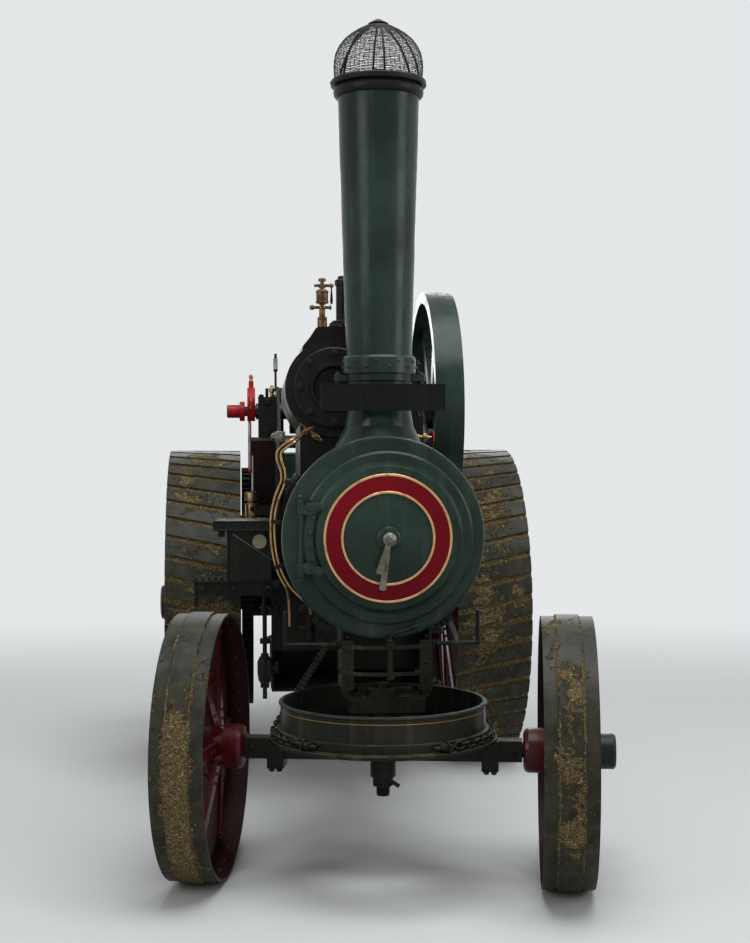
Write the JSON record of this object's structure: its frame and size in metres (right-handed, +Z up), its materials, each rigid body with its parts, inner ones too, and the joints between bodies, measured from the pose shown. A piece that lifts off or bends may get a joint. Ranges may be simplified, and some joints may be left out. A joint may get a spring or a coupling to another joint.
{
  "type": "steam traction engine",
  "caption": "Old agricultural steam traction engine with tall chimney, round smokebox door, side flywheel, spoked iron wheels, chain steering and rear tender.",
  "frame": {"origin": "middle of the whole engine's box at ground level", "axes": "front faces -Y, +X is the engine's left (the viewer's right), +Z up; the front wheels stand turned 9.8 degrees as in the picture"},
  "size_m": [2.165, 4.8157, 3.695],
  "materials": {
    "dark_green_paint": "semi-gloss, aged",
    "black_paint": "semi-gloss, aged",
    "black_iron": "oily black",
    "oily_iron": "dark, greased",
    "bright_steel": "oiled",
    "brass": "tarnished",
    "copper": "dull copper",
    "red_enamel": "gloss",
    "red_paint": "gloss",
    "maroon_paint": "semi-gloss, dusty",
    "tread_iron": "worn, muddy"
  },
  "bodies": {
    "engine": {"boiler_barrel": "dark_green_paint", "firebox": "black_paint", "ashpan": "black_iron", "smokebox": "dark_green_paint", "door_hinge": "black_iron", "chimney_base": "dark_green_paint", "chimney_barrel": "dark_green_paint", "chimney_cap": "black_iron", "spark_arrester": "black_iron", "spark_mesh": "black_iron", "number_plate": "black_paint", "cylinder_block": "black_iron", "cylinder_cover": "black_iron", "safety_valve": "brass", "lubricator": "brass", "slide_bars": "bright_steel", "crosshead": "bright_steel", "valve_gear": "bright_steel", "governor": "black_iron", "hornplates": "black_paint", "crank_bearings": "black_iron", "gear_shafts": "oily_iron", "gear_guard": "maroon_paint", "rear_axle": "oily_iron", "bull_gear": "oily_iron", "perch_bracket": "black_paint", "kingpin": "black_iron", "steering_chains": "black_iron", "steering_gear": "black_iron", "tender": "dark_green_paint", "drawbar": "black_iron", "feed_pump": "brass", "side_box": "black_paint", "pipes": "copper", "controls": "black_iron"},
    "steering_axle": {"front_axle": "black_paint", "turntable_ring": "black_paint"},
    "front_wheel_left": {"front_rim_left": "tread_iron", "front_hub_left": "maroon_paint"},
    "front_wheel_right": {"front_rim_right": "tread_iron", "front_hub_right": "maroon_paint"},
    "rear_wheel_left": {"rear_rim_left": "tread_iron", "rear_hub_left": "maroon_paint"},
    "rear_wheel_right": {"rear_rim_right": "tread_iron", "rear_hub_right": "maroon_paint"},
    "crank_and_flywheel": {"crankshaft": "bright_steel", "flywheel": "black_paint"},
    "main_rod": {"connecting_rod": "bright_steel"},
    "fore_eccentric_rod": {"eccentric_rod_fore": "bright_steel"},
    "back_eccentric_rod": {"eccentric_rod_back": "bright_steel"},
    "pump_eccentric_rod": {"pump_rod": "red_paint"},
    "smokebox_door": {"smokebox_door": "dark_green_paint", "door_ring": "red_enamel", "door_handles": "bright_steel"},
    "firehole_door": {"firehole_door": "black_iron"}
  },
  "joints": [
    {"name": "steering", "type": "hinge", "parent": "engine", "child": "steering_axle", "pos_m": [0, -1.70205, 0.572], "axis": [0, 0, 1], "range_deg": [-12.2, 31.8], "deforming": ["steering_chains"]},
    {"name": "front_left_spin", "type": "hinge", "parent": "steering_axle", "child": "front_wheel_left", "pos_m": [0.76271, -1.8338, 0.572], "axis": [0.9854, -0.1702, 0], "continuous": true},
    {"name": "front_right_spin", "type": "hinge", "parent": "steering_axle", "child": "front_wheel_right", "pos_m": [-0.76271, -1.57031, 0.572], "axis": [0.9854, -0.1702, 0], "continuous": true},
    {"name": "rear_left_spin", "type": "hinge", "parent": "engine", "child": "rear_wheel_left", "pos_m": [0.809, 1.12295, 0.9145], "axis": [1, 0, 0], "continuous": true},
    {"name": "rear_right_spin", "type": "hinge", "parent": "engine", "child": "rear_wheel_right", "pos_m": [-0.809, 1.12295, 0.9145], "axis": [1, 0, 0], "continuous": true},
    {"name": "crank_spin", "type": "hinge", "parent": "engine", "child": "crank_and_flywheel", "pos_m": [0, 0.50295, 2.052], "axis": [1, 0, 0], "continuous": true},
    {"name": "big_end", "type": "hinge", "parent": "crank_and_flywheel", "child": "main_rod", "pos_m": [-0.18, 0.37602, 2.05643], "axis": [1, 0, 0], "continuous": true},
    {"name": "fore_eccentric", "type": "hinge", "parent": "crank_and_flywheel", "child": "fore_eccentric_rod", "pos_m": [0.052, 0.48281, 2.01977], "axis": [1, 0, 0], "continuous": true},
    {"name": "back_eccentric", "type": "hinge", "parent": "crank_and_flywheel", "child": "back_eccentric_rod", "pos_m": [0.128, 0.52308, 2.08423], "axis": [1, 0, 0], "continuous": true},
    {"name": "pump_eccentric", "type": "hinge", "parent": "crank_and_flywheel", "child": "pump_eccentric_rod", "pos_m": [-0.539, 0.50295, 2.092], "axis": [1, 0, 0], "continuous": true},
    {"name": "smokebox_door_hinge", "type": "hinge", "parent": "engine", "child": "smokebox_door", "pos_m": [-0.351, -1.79405, 1.47], "axis": [0, 0, -1], "range_deg": [0, 110]},
    {"name": "firehole_door_hinge", "type": "hinge", "parent": "engine", "child": "firehole_door", "pos_m": [-0.19, 0.75195, 1.27], "axis": [0, 0, 1], "range_deg": [0, 100]}
  ],
  "couplings": [
    {"joint": "big_end", "follows": "crank_spin", "ratio": -1},
    {"joint": "fore_eccentric", "follows": "crank_spin", "ratio": -1},
    {"joint": "back_eccentric", "follows": "crank_spin", "ratio": -1},
    {"joint": "pump_eccentric", "follows": "crank_spin", "ratio": -1}
  ]
}
